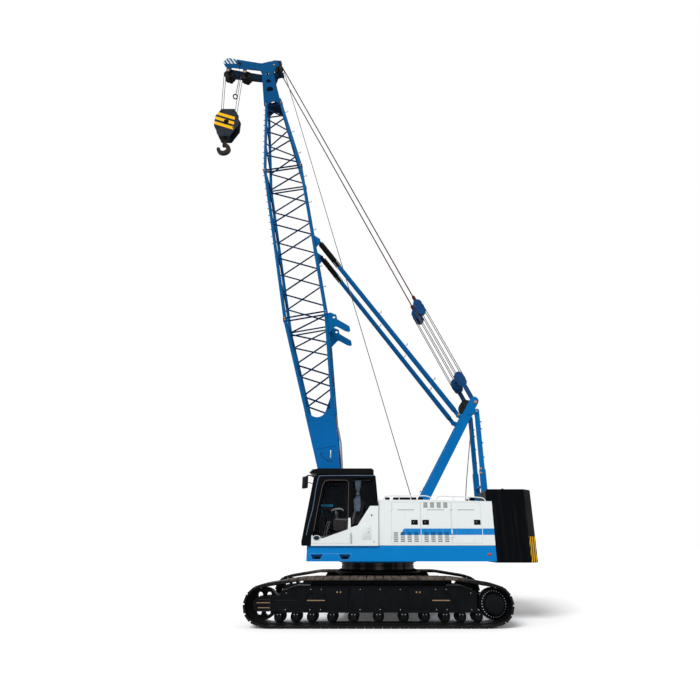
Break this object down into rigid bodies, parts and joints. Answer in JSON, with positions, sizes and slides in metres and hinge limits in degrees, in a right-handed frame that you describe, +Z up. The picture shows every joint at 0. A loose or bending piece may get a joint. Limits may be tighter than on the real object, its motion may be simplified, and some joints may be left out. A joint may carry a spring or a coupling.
{
  "type": "dynamic compaction machine",
  "caption": "Crawler machine for dynamic compaction: slewing upper with cab and counterweight, luffing lattice boom on stays and backstops, and a hoisted hook block.",
  "frame": {"origin": "on the ground, under the centre of the slewing ring", "axes": "+X the way the machine faces, +Y its left side where the cab is, +Z up"},
  "size_m": [10.4802, 4.56, 20.8513],
  "materials": {
    "track_steel": "satin",
    "chassis_black": "satin",
    "platform_blue": "gloss",
    "boom_blue": "gloss",
    "housing_white": "gloss",
    "counterweight_black": "satin",
    "cab_glass_clear": "clear",
    "black_steel": "satin",
    "seat_vinyl": "matt",
    "engine_iron": "matt",
    "drum_steel": "satin",
    "rope_steel": "matt",
    "block_grey": "satin",
    "hook_iron": "matt",
    "rail_white": "gloss",
    "pulley_grey": "satin"
  },
  "bodies": {
    "undercarriage": {"car_body": "chassis_black", "slewing_ring": "chassis_black", "track_frame_left": "chassis_black", "track_frame_right": "chassis_black", "track_left": "track_steel", "track_right": "track_steel", "idler_left": "chassis_black", "idler_right": "chassis_black", "final_drive_left": "chassis_black", "final_drive_right": "chassis_black", "bottom_rollers_left": "chassis_black", "bottom_rollers_right": "chassis_black"},
    "upperstructure": {"revolving_platform": "platform_blue", "left_housing": "housing_white", "right_housing": "housing_white", "counterweight": "counterweight_black", "cab_shell": "housing_white", "cab_glass": "cab_glass_clear", "cab_roof_guard": "black_steel", "operator_seat": "seat_vinyl", "cab_mirror": "black_steel", "engine_block": "engine_iron", "deck_tank": "housing_white", "hoist_winches": "drum_steel", "roof_rails": "rail_white", "gantry_struts": "boom_blue", "gantry_rear_links": "boom_blue", "gantry_sheaves": "pulley_grey"},
    "boom": {"boom_base_section": "boom_blue", "boom_middle_section": "boom_blue", "boom_top_section": "boom_blue", "boom_head": "boom_blue", "head_sheaves": "pulley_grey"},
    "cab_door_leaf": {"cab_door": "black_steel", "cab_door_glass": "cab_glass_clear"},
    "stay_lower": {"stay_lower_block": "black_steel", "luffing_ropes": "rope_steel"},
    "stay_upper": {"stay_upper_block": "black_steel", "stay_pendants": "rope_steel"},
    "backstop_barrels": {"backstop_tubes": "boom_blue"},
    "backstop_plungers": {"backstop_rods": "black_steel"},
    "hoist_falls": {"hook_falls": "rope_steel"},
    "hook_gear": {"hook_block": "block_grey", "hook": "hook_iron"},
    "left_door_front_leaf": {"left_door_front": "housing_white"},
    "left_door_middle_leaf": {"left_door_middle": "housing_white"},
    "left_door_rear_leaf": {"left_door_rear": "housing_white"},
    "right_door_front_leaf": {"right_door_front": "housing_white"},
    "right_door_middle_leaf": {"right_door_middle": "housing_white"},
    "right_door_rear_leaf": {"right_door_rear": "housing_white"}
  },
  "joints": [
    {"name": "slew", "type": "hinge", "parent": "undercarriage", "child": "upperstructure", "pos_m": [0, 0, 1.3], "axis": [0, 0, 1], "continuous": true},
    {"name": "boom_luff", "type": "hinge", "parent": "upperstructure", "child": "boom", "pos_m": [1.06, 0, 2.02], "axis": [0, 1, 0], "range_deg": [0, 19.2]},
    {"name": "stay_swing", "type": "hinge", "parent": "upperstructure", "child": "stay_lower", "pos_m": [-2.92, 0, 5.74], "axis": [0, 1, 0], "range_deg": [0, 20.02]},
    {"name": "stay_extend", "type": "slide", "parent": "stay_lower", "child": "stay_upper", "axis": [0.4272, 0, 0.9042], "range_m": [0, 1.8014]},
    {"name": "backstop_swing", "type": "hinge", "parent": "upperstructure", "child": "backstop_barrels", "pos_m": [-2.404, 0, 5.306], "axis": [0, 1, 0], "range_deg": [0, 18.9]},
    {"name": "backstop_extend", "type": "slide", "parent": "backstop_barrels", "child": "backstop_plungers", "axis": [0.5834, 0, 0.8122], "range_m": [0, 1.5929]},
    {"name": "hook_plumb", "type": "hinge", "parent": "boom", "child": "hoist_falls", "pos_m": [6.2, 0, 20.1], "axis": [0, 1, 0], "range_deg": [-19.21, 0]},
    {"name": "hook_hoist", "type": "slide", "parent": "hoist_falls", "child": "hook_gear", "axis": [0, 0, 1], "range_m": [-12.5, 0.4]},
    {"name": "cab_door_swing", "type": "hinge", "parent": "upperstructure", "child": "cab_door_leaf", "pos_m": [0.703, 1.66, 2.5], "axis": [0, 0, 1], "range_deg": [0, 100]},
    {"name": "left_door_front_swing", "type": "hinge", "parent": "upperstructure", "child": "left_door_front_leaf", "pos_m": [-0.3365, 1.61, 2.25], "axis": [0, 0, -1], "range_deg": [0, 100]},
    {"name": "left_door_middle_swing", "type": "hinge", "parent": "upperstructure", "child": "left_door_middle_leaf", "pos_m": [-1.8455, 1.61, 2.25], "axis": [0, 0, 1], "range_deg": [0, 90]},
    {"name": "left_door_rear_swing", "type": "hinge", "parent": "upperstructure", "child": "left_door_rear_leaf", "pos_m": [-1.8645, 1.61, 2.25], "axis": [0, 0, -1], "range_deg": [0, 90]},
    {"name": "right_door_front_swing", "type": "hinge", "parent": "upperstructure", "child": "right_door_front_leaf", "pos_m": [-0.3365, -1.61, 2.25], "axis": [0, 0, 1], "range_deg": [0, 100]},
    {"name": "right_door_middle_swing", "type": "hinge", "parent": "upperstructure", "child": "right_door_middle_leaf", "pos_m": [-1.8455, -1.61, 2.25], "axis": [0, 0, -1], "range_deg": [0, 90]},
    {"name": "right_door_rear_swing", "type": "hinge", "parent": "upperstructure", "child": "right_door_rear_leaf", "pos_m": [-1.8645, -1.61, 2.25], "axis": [0, 0, 1], "range_deg": [0, 90]}
  ],
  "couplings": [
    {"joint": "stay_swing", "follows": "boom_luff", "ratio": 1.0423},
    {"joint": "stay_extend", "follows": "boom_luff", "m_per_rad": 5.3727},
    {"joint": "backstop_swing", "follows": "boom_luff", "ratio": 0.98369},
    {"joint": "backstop_extend", "follows": "boom_luff", "m_per_rad": 4.7504},
    {"joint": "hook_plumb", "follows": "boom_luff", "ratio": -1}
  ]
}
